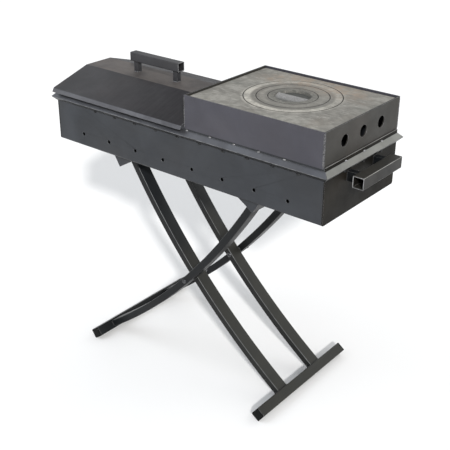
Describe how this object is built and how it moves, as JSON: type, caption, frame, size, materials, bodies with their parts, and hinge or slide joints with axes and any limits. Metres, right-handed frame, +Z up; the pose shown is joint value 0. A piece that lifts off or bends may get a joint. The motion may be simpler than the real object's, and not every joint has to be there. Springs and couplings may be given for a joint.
{
  "type": "folding charcoal brazier",
  "caption": "Long steel firebox on curved crossed folding legs, with a lift-off sloped lid at one end and a lift-off stove section with cast-iron ring hob at the other.",
  "frame": {"origin": "middle of the whole object's plan, on the floor it stands on", "axes": "+Z up, +X along the firebox from the lid end to the carrying handle end, +Y from the front wall to the back wall"},
  "size_m": [0.9708, 0.403, 0.8519],
  "materials": {
    "firebox_steel": "satin dark oiled hot-rolled sheet steel",
    "frame_steel": "satin dark oiled steel tube",
    "lid_steel": "satin dark oiled sheet steel with a warm brown tint",
    "stove_steel": "satin dark grey steel plate",
    "handle_steel": "satin dark steel",
    "hob_iron": "matt ground grey cast iron",
    "black_plastic": "matt black moulded plastic",
    "bolt_steel": "dark oxide steel fasteners"
  },
  "bodies": {
    "outer_frame": {"outer_leg_near": "frame_steel", "outer_leg_far": "frame_steel", "outer_foot_bar": "frame_steel", "outer_foot_plugs": "black_plastic", "outer_top_bar": "frame_steel", "pivot_bolts": "bolt_steel", "pivot_washers": "bolt_steel", "pivot_nuts": "bolt_steel"},
    "inner_frame": {"inner_leg_near": "frame_steel", "inner_leg_far": "frame_steel", "inner_foot_bar": "frame_steel", "inner_foot_plugs": "black_plastic", "inner_top_bar": "frame_steel"},
    "firebox": {"firebox_tray": "firebox_steel", "firebox_end_left": "firebox_steel", "firebox_end_right": "firebox_steel", "rim_front": "firebox_steel", "rim_back": "firebox_steel", "rim_left": "firebox_steel", "rim_right": "firebox_steel", "saddle_angle_left": "firebox_steel", "saddle_angle_right": "firebox_steel", "saddle_gussets_left": "firebox_steel", "saddle_gussets_right": "firebox_steel", "carry_handle_bar": "handle_steel", "carry_handle_standoffs": "handle_steel"},
    "lid": {"lid_cover": "lid_steel", "lid_end_left": "lid_steel", "lid_end_right": "lid_steel", "lid_handle_bar": "handle_steel", "lid_handle_posts": "handle_steel"},
    "stove": {"stove_front": "stove_steel", "stove_back": "stove_steel", "stove_left": "stove_steel", "stove_right": "stove_steel", "stove_plate_ledges": "stove_steel", "stove_rest_rail_front": "stove_steel", "stove_rest_rail_back": "stove_steel"},
    "hob_plate_body": {"hob_plate": "hob_iron"},
    "ring_outer": {"hob_ring_outer": "hob_iron"},
    "ring_inner": {"hob_ring_inner": "hob_iron"},
    "disc": {"hob_disc": "hob_iron"}
  },
  "joints": [
    {"name": "leg_fold", "type": "hinge", "parent": "outer_frame", "child": "inner_frame", "pos_m": [-0.01564, 0, 0.28845], "axis": [0, -1, 0], "range_deg": [0, 80]},
    {"name": "firebox_lift", "type": "slide", "parent": "outer_frame", "child": "firebox", "axis": [0, 0, 1], "range_m": [0, 0.3]},
    {"name": "lid_lift", "type": "slide", "parent": "firebox", "child": "lid", "axis": [0, 0, 1], "range_m": [0, 0.3]},
    {"name": "stove_lift", "type": "slide", "parent": "firebox", "child": "stove", "axis": [0, 0, 1], "range_m": [0, 0.3]},
    {"name": "hob_plate_lift", "type": "slide", "parent": "stove", "child": "hob_plate_body", "axis": [0, 0, 1], "range_m": [0, 0.2]},
    {"name": "ring_outer_lift", "type": "slide", "parent": "hob_plate_body", "child": "ring_outer", "axis": [0, 0, 1], "range_m": [0, 0.15]},
    {"name": "ring_inner_lift", "type": "slide", "parent": "ring_outer", "child": "ring_inner", "axis": [0, 0, 1], "range_m": [0, 0.15]},
    {"name": "disc_lift", "type": "slide", "parent": "ring_inner", "child": "disc", "axis": [0, 0, 1], "range_m": [0, 0.15]}
  ]
}
